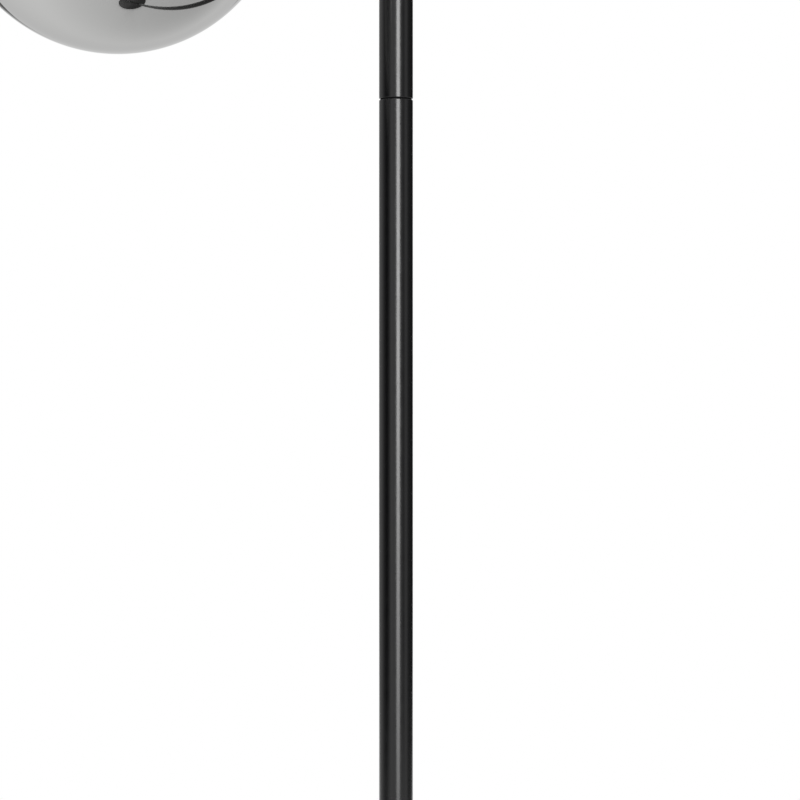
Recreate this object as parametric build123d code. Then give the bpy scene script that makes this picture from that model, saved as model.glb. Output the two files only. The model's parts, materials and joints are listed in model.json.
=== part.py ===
"""Floor lamp: three mirrored glass globes on short arms round a jointed tube pole with a round base.

Millimetres, +Z up. The origin is on the floor at the centre of the base, on the pole's axis.
Screw threads are left plain: a threaded pair is drawn as smooth cylinders of its real size.
"""

from build123d import *

import math
import os

# ---- Driving dimensions -------------------------------------------------------------------------

# Pole: equal tubes that screw together end to end
POLE_DIAMETER = 20.0
POLE_WALL = 1.2
SECTION_LENGTH = 520.0
SECTION_COUNT = 3
TUBE_EDGE_RADIUS = 0.6

# Threaded bush in a tube's end, with a thin flange that keeps the tubes apart at a seam
BUSH_LENGTH = 13.0
BUSH_FLANGE_THICKNESS = 0.4
BUSH_FLANGE_INSET = 0.7

# Hollow threaded rod, M10 x 1, used at the foot and at each seam
NIPPLE_DIAMETER = 10.0
NIPPLE_BORE = 7.0
NIPPLE_ENGAGEMENT = 11.0
NIPPLE_CHAMFER = 0.5
HOLE_CLEARANCE = 0.2

# Cap on the top of the pole
CAP_THICKNESS = 2.0
CAP_PLUG_LENGTH = 10.0
CAP_EDGE_RADIUS = 1.2

# Base: pressed cover over a cast weight, on a disc of soft pad
BASE_DIAMETER = 270.0
BASE_HEIGHT = 20.0
BASE_SHOULDER_RADIUS = 6.0
COVER_WALL = 1.5
COVER_FLOOR_GAP = 1.2
PAD_THICKNESS = 2.5
PAD_INSET = 3.0
WEIGHT_CLEARANCE = 0.6
WEIGHT_EDGE_RADIUS = 5.0
CORD_CHANNEL_WIDTH = 14.0
CORD_CHANNEL_DEPTH = 11.0
NUT_RECESS_DIAMETER = 34.0
NUT_RECESS_DEPTH = 9.5
FOOT_NUT_ACROSS_FLATS = 17.0
FOOT_NUT_THICKNESS = 5.0
FOOT_WASHER_DIAMETER = 28.0
FOOT_WASHER_THICKNESS = 1.5
FOOT_NIPPLE_STUB = 1.5

# Collar on the base, round the pole's foot
COLLAR_DIAMETER = 32.0
COLLAR_HEIGHT = 14.0
COLLAR_FLOOR = 5.5
COLLAR_EDGE_RADIUS = 2.5
COLLAR_CLEARANCE = 0.15

# Bush in the base's rear edge, where a mains lead goes in
GLAND_BORE = 6.4
GLAND_BODY_DIAMETER = 9.4
GLAND_BODY_LENGTH = 9.0
GLAND_FLANGE_DIAMETER = 11.6
GLAND_FLANGE_THICKNESS = 2.0
GLAND_HEIGHT = 7.6
GLAND_EDGE_RADIUS = 0.7
GLAND_DIRECTION = 90.0

# Lights: where they stand round the pole, and up the last section from its two ends
LIGHT_NAMES = ("low", "middle", "high")
FIRST_LIGHT_DIRECTION = 210.0
LIGHT_TURN = 120.0
FIRST_LIGHT_ABOVE_END = 108.5
LAST_LIGHT_BELOW_END = 36.5
REACH = 185.0

# Arm: a short tube, welded into a hole in the pole, with a threaded end for the cup and the holder
ARM_DIAMETER = 12.0
ARM_BORE = 7.0
ARM_INSIDE_POLE = 4.0
ARM_THREAD_LENGTH = 12.0
ARM_NUT_ACROSS_FLATS = 14.0
ARM_NUT_THICKNESS = 3.5

# Cup that covers the lampholder and carries the globe
CUP_DIAMETER = 60.0
CUP_WALL = 1.0
CUP_DEPTH = 40.5
CUP_SHOULDER_RADIUS = 9.0

# Globe: blown glass with a screw neck
GLOBE_DIAMETER = 189.0
GLASS_WALL = 2.0
NECK_DIAMETER = 50.0
NECK_LENGTH = 13.0
NECK_FLARE_RADIUS = 1.5
NECK_LIP_RADIUS = 0.7

# Ring in the cup that the neck screws into, and the flat seal on its face
GLOBE_THREAD_DEPTH = 1.4
THREAD_RING_LENGTH = 14.0
THREAD_RING_RECESS = 1.0
SEAL_THICKNESS = 1.6
SEAL_CLEARANCE = 0.4

# Lampholder for a small Edison screw lamp
HOLDER_DIAMETER = 27.0
HOLDER_LENGTH = 35.5
HOLDER_WEB_THICKNESS = 4.0
HOLDER_EDGE_RADIUS = 1.5
WIRE_HOLE_DIAMETER = 3.2
WIRE_HOLE_SPACING = 13.0
SHELL_WALL = 0.8
SHELL_LENGTH = 20.0
TONGUE_WIDTH = 4.0
TONGUE_THICKNESS = 0.5
TONGUE_HEIGHT = 2.6
TONGUE_FOOT = 5.0
TONGUE_REACH = 4.0
TONGUE_TOP_LENGTH = 4.2
TONGUE_BEND_RADIUS = 0.6

# Lamp: a 45 mm ball with an E14 cap and four light-emitting rods
EDISON_DIAMETER = 13.9
EDISON_CLEARANCE = 0.3
LAMP_DIAMETER = 45.0
LAMP_LENGTH = 78.0
LAMP_GLASS_WALL = 0.9
LAMP_NECK_DIAMETER = 12.0
LAMP_SHOULDER_RADIUS = 14.0
LAMP_CAP_LENGTH = 22.0
LAMP_CAP_CONE_LENGTH = 3.0
LAMP_CAP_CONE_DIAMETER = 8.0
LAMP_TIP_DIAMETER = 4.8
LAMP_TIP_HEIGHT = 1.2
GLASS_IN_CAP = 6.0
STEM_DIAMETER = 5.0
STEM_LENGTH = 24.0
STEM_FOOT_THICKNESS = 1.5
ROD_COUNT = 4
ROD_DIAMETER = 1.8
ROD_LENGTH = 26.0
ROD_RING_RADIUS = 6.5
ROD_WIRE_DIAMETER = 1.0
ROD_WIRE_INSET = 2.0

# ---- Levels and radii that follow from them -----------------------------------------------------

pole_radius = POLE_DIAMETER / 2
pole_bore_radius = pole_radius - POLE_WALL
bush_flange_radius = pole_radius - BUSH_FLANGE_INSET
nipple_radius = NIPPLE_DIAMETER / 2
nipple_hole_radius = nipple_radius + HOLE_CLEARANCE
seam_gap = 2 * BUSH_FLANGE_THICKNESS

base_radius = BASE_DIAMETER / 2
cover_inner_radius = base_radius - COVER_WALL
cover_ceiling = BASE_HEIGHT - COVER_WALL
weight_radius = cover_inner_radius - WEIGHT_CLEARANCE
nut_recess_ceiling = PAD_THICKNESS + NUT_RECESS_DEPTH
foot_washer_bottom = nut_recess_ceiling - FOOT_WASHER_THICKNESS
foot_nut_bottom = foot_washer_bottom - FOOT_NUT_THICKNESS
collar_seat = BASE_HEIGHT + COLLAR_FLOOR

first_tube_bottom = collar_seat + BUSH_FLANGE_THICKNESS
tube_bottoms = [first_tube_bottom + i * (SECTION_LENGTH + seam_gap) for i in range(SECTION_COUNT)]
seam_levels = [bottom - seam_gap / 2 for bottom in tube_bottoms[1:]]
pole_top = tube_bottoms[-1] + SECTION_LENGTH
first_light_height = tube_bottoms[-1] + FIRST_LIGHT_ABOVE_END
light_spacing = (pole_top - LAST_LIGHT_BELOW_END - first_light_height) / (len(LIGHT_NAMES) - 1)

globe_radius = GLOBE_DIAMETER / 2
neck_radius = NECK_DIAMETER / 2
neck_root = REACH - math.sqrt(globe_radius**2 - neck_radius**2)
neck_end = neck_root - NECK_LENGTH
thread_bore_radius = neck_radius + GLOBE_THREAD_DEPTH
cup_radius = CUP_DIAMETER / 2
cup_bore_radius = cup_radius - CUP_WALL
seal_inner_radius = neck_radius + NECK_FLARE_RADIUS + SEAL_CLEARANCE
seal_top = REACH - math.sqrt(globe_radius**2 - seal_inner_radius**2) - SEAL_CLEARANCE
seal_bottom = seal_top - SEAL_THICKNESS
cup_rim = seal_bottom + THREAD_RING_RECESS
cup_back = cup_rim - CUP_DEPTH
arm_start = pole_radius - ARM_INSIDE_POLE
arm_end = cup_back + ARM_THREAD_LENGTH

holder_radius = HOLDER_DIAMETER / 2
holder_back = cup_back + CUP_WALL + ARM_NUT_THICKNESS
web_front = arm_end + HOLDER_WEB_THICKNESS
lamp_cap_radius = EDISON_DIAMETER / 2
shell_bore_radius = lamp_cap_radius + EDISON_CLEARANCE
shell_radius = shell_bore_radius + SHELL_WALL
lamp_tip_start = web_front + TONGUE_HEIGHT
lamp_cap_start = lamp_tip_start + LAMP_TIP_HEIGHT
lamp_cap_end = lamp_cap_start + LAMP_CAP_LENGTH
lamp_glass_start = lamp_cap_end - GLASS_IN_CAP
lamp_glass_end = lamp_tip_start + LAMP_LENGTH
rod_start = lamp_glass_start + STEM_LENGTH - ROD_WIRE_INSET - ROD_WIRE_DIAMETER


def light_plane(index):
    """Plane at a light's height on the pole's axis, with its normal out along the light's arm."""
    turn = math.radians(FIRST_LIGHT_DIRECTION + index * LIGHT_TURN)
    height = first_light_height + index * light_spacing
    return Plane(origin=(0, 0, height), x_dir=(0, 0, 1), z_dir=(math.cos(turn), math.sin(turn), 0))


# ---- Shapes used more than once -----------------------------------------------------------------


def disc(radius, bottom, top):
    """Solid cylinder about Z between two levels."""
    return Pos(0, 0, bottom) * Cylinder(radius, top - bottom, align=(Align.CENTER, Align.CENTER, Align.MIN))


def ring(outer_radius, inner_radius, bottom, top):
    """Hollow cylinder about Z between two levels."""
    return disc(outer_radius, bottom, top) - disc(inner_radius, bottom, top)


def circles_at(shape, level, radius):
    """Round edges of one radius that lie at one level."""
    circles = shape.edges().filter_by(GeomType.CIRCLE)
    return circles.filter_by(lambda e: abs(e.center().Z - level) < 1e-3 and abs(e.radius - radius) < 1e-3)


def threaded_rod(bottom, top):
    """Hollow threaded rod about Z, chamfered at both ends."""
    rod = disc(nipple_radius, bottom, top)
    ends = circles_at(rod, bottom, nipple_radius) + circles_at(rod, top, nipple_radius)
    return chamfer(ends, NIPPLE_CHAMFER) - disc(NIPPLE_BORE / 2, bottom, top)


def hex_nut(across_flats, bottom, thickness):
    """Hexagon nut about Z on a threaded rod, with its corners turned off."""
    hexagon = RegularPolygon(across_flats / 2, 6, major_radius=False)
    blank = extrude(Pos(0, 0, bottom) * hexagon, thickness)
    corner_radius = across_flats / 2 / math.cos(math.pi / 6)
    turned = disc(corner_radius, bottom, bottom + thickness)
    rims = circles_at(turned, bottom, corner_radius) + circles_at(turned, bottom + thickness, corner_radius)
    turned = chamfer(rims, (corner_radius - across_flats / 2) / 2)
    return (blank & turned) - disc(nipple_radius, bottom, bottom + thickness)


def ball_on_neck(ball_radius, centre, stem_radius, stem_end, fillet_radius):
    """Ball with a round neck towards -Z, blended into each other."""
    solid = Pos(0, 0, centre) * Sphere(ball_radius) + disc(stem_radius, stem_end, centre)
    junction = centre - math.sqrt(ball_radius**2 - stem_radius**2)
    return fillet(circles_at(solid, junction, stem_radius), fillet_radius)


# ---- Base ---------------------------------------------------------------------------------------


def at_gland(shape):
    """Turns a shape drawn along +Z outwards from the pole's axis to the gland's place."""
    turn = math.radians(GLAND_DIRECTION)
    outwards = (math.cos(turn), math.sin(turn), 0)
    return Plane(origin=(0, 0, GLAND_HEIGHT), x_dir=(0, 0, 1), z_dir=outwards).location * shape


def base_cover():
    """Pressed steel cover: a shallow dish, upside down, with holes for the foot and the gland."""
    outside = disc(base_radius, COVER_FLOOR_GAP, BASE_HEIGHT)
    outside = fillet(circles_at(outside, BASE_HEIGHT, base_radius), BASE_SHOULDER_RADIUS)
    inside = disc(cover_inner_radius, COVER_FLOOR_GAP, cover_ceiling)
    rim = circles_at(inside, cover_ceiling, cover_inner_radius)
    inside = fillet(rim, BASE_SHOULDER_RADIUS - COVER_WALL)
    gland_hole = at_gland(disc(GLAND_BODY_DIAMETER / 2, weight_radius, base_radius + COVER_WALL))
    return outside - inside - disc(nipple_hole_radius, cover_ceiling, BASE_HEIGHT) - gland_hole


def base_weight():
    """Cast iron disc that fills the cover, with a recess for the nut and a channel to the gland."""
    casting = disc(weight_radius, PAD_THICKNESS, cover_ceiling)
    casting = fillet(circles_at(casting, cover_ceiling, weight_radius), WEIGHT_EDGE_RADIUS)
    recess = disc(NUT_RECESS_DIAMETER / 2, PAD_THICKNESS, nut_recess_ceiling)
    channel_top = PAD_THICKNESS + CORD_CHANNEL_DEPTH
    channel = Box(
        CORD_CHANNEL_WIDTH,
        weight_radius,
        CORD_CHANNEL_DEPTH,
        align=(Align.CENTER, Align.MIN, Align.MAX),
    )
    channel = Pos(0, 0, channel_top) * Rot(0, 0, GLAND_DIRECTION - 90) * channel
    return casting - recess - channel - disc(nipple_hole_radius, nut_recess_ceiling, cover_ceiling)


def base_pad():
    """Disc of soft pad that is glued under the weight, over the recess and the channel."""
    return disc(weight_radius - PAD_INSET, 0, PAD_THICKNESS)


def foot_washer():
    """Plain washer between the weight and the nut."""
    return ring(FOOT_WASHER_DIAMETER / 2, nipple_hole_radius, foot_washer_bottom, nut_recess_ceiling)


def foot_collar():
    """Turned collar that centres the pole's foot on the base."""
    collar = disc(COLLAR_DIAMETER / 2, BASE_HEIGHT, BASE_HEIGHT + COLLAR_HEIGHT)
    collar = fillet(circles_at(collar, BASE_HEIGHT + COLLAR_HEIGHT, COLLAR_DIAMETER / 2), COLLAR_EDGE_RADIUS)
    socket = disc(pole_radius + COLLAR_CLEARANCE, collar_seat, BASE_HEIGHT + COLLAR_HEIGHT)
    return collar - socket - disc(nipple_hole_radius, BASE_HEIGHT, collar_seat)


def cord_gland():
    """Bush with a flange that bears on the cover's curved edge."""
    flange_end = base_radius + GLAND_FLANGE_THICKNESS
    flange_radius = GLAND_FLANGE_DIAMETER / 2
    flange = disc(flange_radius, cover_inner_radius, flange_end)
    flange = fillet(circles_at(flange, flange_end, flange_radius), GLAND_EDGE_RADIUS)
    body_end = base_radius - GLAND_BODY_LENGTH
    body = disc(GLAND_BODY_DIAMETER / 2, body_end, flange_end)
    bore = disc(GLAND_BORE / 2, body_end, flange_end)
    return at_gland(flange) - disc(base_radius, 0, BASE_HEIGHT) + at_gland(body) - at_gland(bore)


# ---- Pole ---------------------------------------------------------------------------------------


def pole_section(index):
    """Tube between two levels, with its end edges eased and holes for any arms that meet it."""
    bottom = tube_bottoms[index]
    top = bottom + SECTION_LENGTH
    tube = disc(pole_radius, bottom, top)
    ends = circles_at(tube, bottom, pole_radius) + circles_at(tube, top, pole_radius)
    tube = fillet(ends, TUBE_EDGE_RADIUS)
    tube -= disc(pole_bore_radius, bottom, top)
    for light in range(len(LIGHT_NAMES)):
        tube -= light_plane(light).location * disc(ARM_DIAMETER / 2, 0, POLE_DIAMETER)
    return tube


def pole_bush(tube_end, inwards):
    """Threaded bush in a tube's end; inwards is 1 when the tube goes up from there, else -1."""
    levels = sorted((tube_end, tube_end + inwards * BUSH_LENGTH))
    flange = sorted((tube_end, tube_end - inwards * BUSH_FLANGE_THICKNESS))
    bush = disc(pole_bore_radius, *levels) + disc(bush_flange_radius, *flange)
    return bush - disc(nipple_radius, min(levels + flange), max(levels + flange))


def pole_cap():
    """Turned cap on the pole's top, with a plug that fits the tube's bore."""
    cap = disc(pole_radius, pole_top, pole_top + CAP_THICKNESS)
    cap = fillet(circles_at(cap, pole_top + CAP_THICKNESS, pole_radius), CAP_EDGE_RADIUS)
    return cap + disc(pole_bore_radius, pole_top - CAP_PLUG_LENGTH, pole_top)


# ---- One light, drawn along +Z from the pole's axis ---------------------------------------------


def arm_tube():
    """Arm from inside the pole to the cup, turned down to a threaded end that goes through the cup."""
    arm = disc(ARM_DIAMETER / 2, arm_start, cup_back) + disc(nipple_radius, cup_back, arm_end)
    arm = chamfer(circles_at(arm, arm_end, nipple_radius), NIPPLE_CHAMFER)
    return arm - disc(ARM_BORE / 2, arm_start, arm_end)


def cup():
    """Drawn cup, open towards the globe."""
    outside = disc(cup_radius, cup_back, cup_rim)
    outside = fillet(circles_at(outside, cup_back, cup_radius), CUP_SHOULDER_RADIUS)
    inside = disc(cup_bore_radius, cup_back + CUP_WALL, cup_rim)
    inside = fillet(circles_at(inside, cup_back + CUP_WALL, cup_bore_radius), CUP_SHOULDER_RADIUS - CUP_WALL)
    return outside - inside - disc(nipple_hole_radius, cup_back, cup_back + CUP_WALL)


def thread_ring():
    """Ring pressed into the cup's mouth, with the coarse internal thread for the globe's neck."""
    return ring(cup_bore_radius, thread_bore_radius, seal_bottom - THREAD_RING_LENGTH, seal_bottom)


def globe_seal():
    """Flat seal on the ring's face, under the globe's shoulder."""
    return ring(cup_bore_radius - SEAL_CLEARANCE, seal_inner_radius, seal_bottom, seal_top)


def globe():
    """Blown glass globe with a screw neck that flares into it and a rounded lip."""
    outside = ball_on_neck(globe_radius, REACH, neck_radius, neck_end, NECK_FLARE_RADIUS)
    outside = fillet(circles_at(outside, neck_end, neck_radius), NECK_LIP_RADIUS)
    inner_neck_radius = neck_radius - GLASS_WALL
    inner_radius = globe_radius - GLASS_WALL
    inside = ball_on_neck(inner_radius, REACH, inner_neck_radius, neck_end, NECK_FLARE_RADIUS + GLASS_WALL)
    return outside - inside


def lampholder():
    """Moulded holder body: a nut socket at the back, a web with two wire holes, a cavity in front."""
    front = holder_back + HOLDER_LENGTH
    body = disc(holder_radius, holder_back, front)
    body = fillet(circles_at(body, front, holder_radius), HOLDER_EDGE_RADIUS)
    body -= disc(nipple_radius, holder_back, arm_end) + disc(shell_radius, web_front, front)
    for side in (-1, 1):
        hole = disc(WIRE_HOLE_DIAMETER / 2, holder_back, web_front)
        body -= Pos(0, side * WIRE_HOLE_SPACING / 2, 0) * hole
    return body


def socket_shell():
    """Threaded metal shell in the holder that takes the lamp's cap."""
    return ring(shell_radius, shell_bore_radius, web_front, web_front + SHELL_LENGTH)


def socket_tongue():
    """Bent spring strip on the holder's web that touches the tip of the lamp."""
    half = TONGUE_THICKNESS / 2
    top = TONGUE_HEIGHT - half
    centre_line = FilletPolyline(
        (-TONGUE_FOOT, half),
        (TONGUE_REACH, half),
        (TONGUE_TOP_LENGTH / 2, top),
        (-TONGUE_TOP_LENGTH / 2, top),
        radius=TONGUE_BEND_RADIUS,
    )
    strip = extrude(trace(centre_line, TONGUE_THICKNESS), TONGUE_WIDTH / 2, both=True)
    return Pos(0, 0, web_front) * Rot(90, 0, 0) * strip


def lamp_tip():
    """Solder contact at the end of the lamp's cap."""
    return disc(LAMP_TIP_DIAMETER / 2, lamp_tip_start, lamp_cap_start)


def lamp_cap():
    """Cap shell of the lamp over its tapered insulator, open where the glass goes in."""
    cone_end = lamp_cap_start + LAMP_CAP_CONE_LENGTH
    cone = Pos(0, 0, lamp_cap_start) * Cone(
        LAMP_CAP_CONE_DIAMETER / 2,
        lamp_cap_radius,
        LAMP_CAP_CONE_LENGTH,
        align=(Align.CENTER, Align.CENTER, Align.MIN),
    )
    shell = disc(lamp_cap_radius, cone_end, lamp_cap_end)
    socket = disc(LAMP_NECK_DIAMETER / 2, lamp_glass_start, lamp_cap_end)
    return cone + shell - socket


def lamp_glass():
    """Clear bulb, open at the end that is cemented into the cap."""
    ball_radius = LAMP_DIAMETER / 2
    stem_radius = LAMP_NECK_DIAMETER / 2
    centre = lamp_glass_end - ball_radius
    outside = ball_on_neck(ball_radius, centre, stem_radius, lamp_glass_start, LAMP_SHOULDER_RADIUS)
    inside = ball_on_neck(
        ball_radius - LAMP_GLASS_WALL,
        centre,
        stem_radius - LAMP_GLASS_WALL,
        lamp_glass_start,
        LAMP_SHOULDER_RADIUS + LAMP_GLASS_WALL,
    )
    return outside - inside


def lamp_rods():
    """Glass stem with a foot in the bulb's neck, and the ring of light-emitting rods that it holds."""
    stem_end = lamp_glass_start + STEM_LENGTH
    rod_end = rod_start + ROD_LENGTH
    foot_radius = LAMP_NECK_DIAMETER / 2 - LAMP_GLASS_WALL
    mast_radius = ROD_WIRE_DIAMETER / 2
    holder = disc(foot_radius, lamp_glass_start, lamp_glass_start + STEM_FOOT_THICKNESS)
    holder += disc(STEM_DIAMETER / 2, lamp_glass_start, stem_end)
    holder += disc(mast_radius, stem_end, rod_end)
    for i in range(ROD_COUNT):
        around = Rot(0, 0, i * 360 / ROD_COUNT)
        holder += around * Pos(ROD_RING_RADIUS, 0, 0) * disc(ROD_DIAMETER / 2, rod_start, rod_end)
        for level in (rod_start + ROD_WIRE_INSET, rod_end - ROD_WIRE_INSET):
            spoke = Pos(0, 0, level) * Rot(0, 90, 0) * disc(mast_radius, 0, ROD_RING_RADIUS)
            holder += around * spoke
    return holder


# ---- Every node ---------------------------------------------------------------------------------

nodes = {
    "base_cover": base_cover(),
    "base_weight": base_weight(),
    "base_pad": base_pad(),
    "foot_collar": foot_collar(),
    "foot_nipple": threaded_rod(foot_nut_bottom - FOOT_NIPPLE_STUB, first_tube_bottom + NIPPLE_ENGAGEMENT),
    "foot_washer": foot_washer(),
    "foot_nut": hex_nut(FOOT_NUT_ACROSS_FLATS, foot_nut_bottom, FOOT_NUT_THICKNESS),
    "cord_gland": cord_gland(),
    "pole_cap": pole_cap(),
}

for i in range(SECTION_COUNT):
    nodes[f"pole_section_{i + 1}"] = pole_section(i)
    nodes[f"pole_bush_{i + 1}_lower"] = pole_bush(tube_bottoms[i], 1)
for i, seam in enumerate(seam_levels):
    nodes[f"pole_bush_{i + 1}_upper"] = pole_bush(seam - seam_gap / 2, -1)
    nodes[f"seam_nipple_{i + 1}"] = threaded_rod(seam - NIPPLE_ENGAGEMENT, seam + NIPPLE_ENGAGEMENT)

light_pieces = {
    "arm_tube": arm_tube(),
    "arm_nut": hex_nut(ARM_NUT_ACROSS_FLATS, cup_back + CUP_WALL, ARM_NUT_THICKNESS),
    "cup": cup(),
    "thread_ring": thread_ring(),
    "globe_seal": globe_seal(),
    "globe": globe(),
    "lampholder": lampholder(),
    "socket_shell": socket_shell(),
    "socket_tongue": socket_tongue(),
    "lamp_tip": lamp_tip(),
    "lamp_cap": lamp_cap(),
    "lamp_glass": lamp_glass(),
    "lamp_rods": lamp_rods(),
}
for index, name in enumerate(LIGHT_NAMES):
    for piece, shape in light_pieces.items():
        nodes[f"{piece}_{name}"] = light_plane(index).location * shape

os.makedirs("parts", exist_ok=True)
for name, shape in nodes.items():
    export_step(shape, f"parts/{name}.step")
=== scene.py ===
"""Floor lamp with three mirrored glass globes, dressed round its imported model. Metres, +Z up."""

import json
import math

import bmesh
import bpy
from mathutils import Matrix, Vector


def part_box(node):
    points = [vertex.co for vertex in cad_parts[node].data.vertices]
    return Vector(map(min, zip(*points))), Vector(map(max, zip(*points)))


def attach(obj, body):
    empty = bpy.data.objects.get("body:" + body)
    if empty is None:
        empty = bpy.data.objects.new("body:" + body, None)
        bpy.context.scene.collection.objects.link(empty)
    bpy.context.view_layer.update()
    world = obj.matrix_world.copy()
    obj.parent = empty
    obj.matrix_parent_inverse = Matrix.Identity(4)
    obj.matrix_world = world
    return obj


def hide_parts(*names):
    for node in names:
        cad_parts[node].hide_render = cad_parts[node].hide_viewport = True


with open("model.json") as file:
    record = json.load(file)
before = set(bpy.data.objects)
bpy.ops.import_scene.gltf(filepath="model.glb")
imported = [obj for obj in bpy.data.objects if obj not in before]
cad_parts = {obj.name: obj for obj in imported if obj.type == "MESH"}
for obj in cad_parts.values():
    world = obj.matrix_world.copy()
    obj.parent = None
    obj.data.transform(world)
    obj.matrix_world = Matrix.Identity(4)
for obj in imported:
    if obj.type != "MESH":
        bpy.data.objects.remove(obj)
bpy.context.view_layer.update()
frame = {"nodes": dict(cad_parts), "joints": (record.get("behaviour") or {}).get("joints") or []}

# ---- Camera, floor and light --------------------------------------------------------------------
# The photograph is a close, level view of the pole and the underside of the low globe. Its frame is
# 800 pixels square, and the pole's place and width in it set the camera, which stands a little to
# the left of the lamp's front.
PICTURE = 800
POLE_LEFT, POLE_RIGHT = 379.1, 412.9
CAMERA_DISTANCE = 1.57
CAMERA_TURN = math.radians(-3.1)
EYE_HEIGHT = 0.8893
SENSOR = 36.0
FARTHEST_SEEN = 60


def round_lamp(across, towards, height, turn=CAMERA_TURN):
    """A place in front of the lamp, given across and towards the camera, turned about the pole."""
    return Matrix.Rotation(turn, 3, "Z") @ Vector((across, -towards, height))


pole_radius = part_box("pole_section_3")[1].x
metres_per_pixel = 2 * pole_radius / (POLE_RIGHT - POLE_LEFT)
camera_data = bpy.data.cameras.new("camera")
camera_data.sensor_width = SENSOR
camera_data.lens = SENSOR * CAMERA_DISTANCE / (PICTURE * metres_per_pixel)
camera_data.clip_end = FARTHEST_SEEN
camera = bpy.data.objects.new("camera", camera_data)
across = (PICTURE - POLE_LEFT - POLE_RIGHT) / 2 * metres_per_pixel
camera.location = round_lamp(across, CAMERA_DISTANCE, EYE_HEIGHT)
camera.rotation_euler = (math.radians(90), 0, CAMERA_TURN)
bpy.context.collection.objects.link(camera)
bpy.context.scene.camera = camera
bpy.context.scene.view_settings.view_transform = "Standard"


def linear(hex_colour, alpha=1.0):
    """An sRGB hex colour as the linear colour that a shader takes."""
    channels = [int(hex_colour[i : i + 2], 16) / 255 for i in (1, 3, 5)]
    return [c / 12.92 if c <= 0.04045 else ((c + 0.055) / 1.055) ** 2.4 for c in channels] + [alpha]


def add_node(tree, kind, settings=(), inputs=()):
    """A shader node with its settings, and its inputs as values or as the sockets that feed them."""
    node = tree.nodes.new(kind)
    for name, value in dict(settings).items():
        setattr(node, name, value)
    for name, value in dict(inputs).items():
        if isinstance(value, bpy.types.NodeSocket):
            tree.links.new(value, node.inputs[name])
        else:
            node.inputs[name].default_value = value
    return node


# The studio: white in front of the camera, and light everywhere for soft shade. What shines sees
# white with dark cards between, two of them beside the white backdrop behind the lamp. They stand by
# compass direction: 0 and 1 are -X, 0.25 is -Y and 0.75 is +Y, behind the lamp.
WORLD_FILL = 0.42
CEILING_START, CEILING_END = 0.25, 0.8
STUDIO_RING = (
    (0.00, 0.21), (0.045, 0.0), (0.08, 0.0), (0.12, 0.36), (0.15, 0.98), (0.19, 0.80), (0.34, 0.50),
    (0.385, 0.14), (0.43, 0.64), (0.45, 0.62), (0.50, 0.12), (0.60, 0.02), (0.70, 0.05), (0.715, 0.95),
    (0.775, 0.95), (0.80, 0.16), (0.85, 0.44), (0.91, 0.58), (0.95, 0.54), (1.00, 0.21),
)
world = bpy.data.worlds.new("studio")
bpy.context.scene.world = world
world.use_nodes = True
sky = world.node_tree
sky.nodes.clear()
direction = add_node(sky, "ShaderNodeTexCoord").outputs["Generated"]
around = add_node(sky, "ShaderNodeTexGradient", {"gradient_type": "RADIAL"}, {"Vector": direction})
ring = add_node(sky, "ShaderNodeValToRGB", {}, {"Fac": around.outputs["Fac"]})
while len(ring.color_ramp.elements) < len(STUDIO_RING):
    ring.color_ramp.elements.new(0.5)
for stop, (place, level) in zip(ring.color_ramp.elements, STUDIO_RING):
    stop.position = place
    stop.color = (level, level, level, 1)
height = add_node(sky, "ShaderNodeSeparateXYZ", {}, {"Vector": direction}).outputs["Z"]
overhead = add_node(
    sky,
    "ShaderNodeMapRange",
    {"interpolation_type": "SMOOTHSTEP"},
    {"Value": height, "From Min": CEILING_START, "From Max": CEILING_END},
).outputs["Result"]
studio = add_node(
    sky,
    "ShaderNodeMix",
    {"data_type": "RGBA"},
    {0: overhead, 6: ring.outputs["Color"], 7: linear("#F2F2F2")},
).outputs[2]
rays = add_node(sky, "ShaderNodeLightPath").outputs
seen = add_node(
    sky,
    "ShaderNodeMath",
    {"operation": "MAXIMUM"},
    {0: rays["Is Camera Ray"], 1: rays["Is Transmission Ray"]},
)
soft = add_node(sky, "ShaderNodeBackground", {}, {"Color": linear("#FFFFFF"), "Strength": WORLD_FILL})
shine = add_node(sky, "ShaderNodeBackground", {}, {"Color": studio, "Strength": 1.0})
white = add_node(sky, "ShaderNodeBackground", {}, {"Color": linear("#FFFFFF"), "Strength": 1.0})
for_shine = add_node(
    sky,
    "ShaderNodeMixShader",
    {},
    {"Fac": rays["Is Glossy Ray"], 1: soft.outputs[0], 2: shine.outputs[0]},
)
for_camera = add_node(
    sky,
    "ShaderNodeMixShader",
    {},
    {"Fac": seen.outputs[0], 1: for_shine.outputs[0], 2: white.outputs[0]},
)
add_node(sky, "ShaderNodeOutputWorld", {}, {"Surface": for_camera.outputs[0]})


def softbox(name, place, target, size, radiance):
    """A rectangular softbox that faces the target, of an even brightness."""
    data = bpy.data.lights.new(name, "AREA")
    data.shape = "RECTANGLE"
    data.size, data.size_y = size
    data.energy = 4 * radiance * size[0] * size[1]
    light = bpy.data.objects.new(name, data)
    light.location = place
    light.rotation_euler = (Vector(target) - Vector(place)).to_track_quat("-Z", "Y").to_euler()
    bpy.context.collection.objects.link(light)


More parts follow.
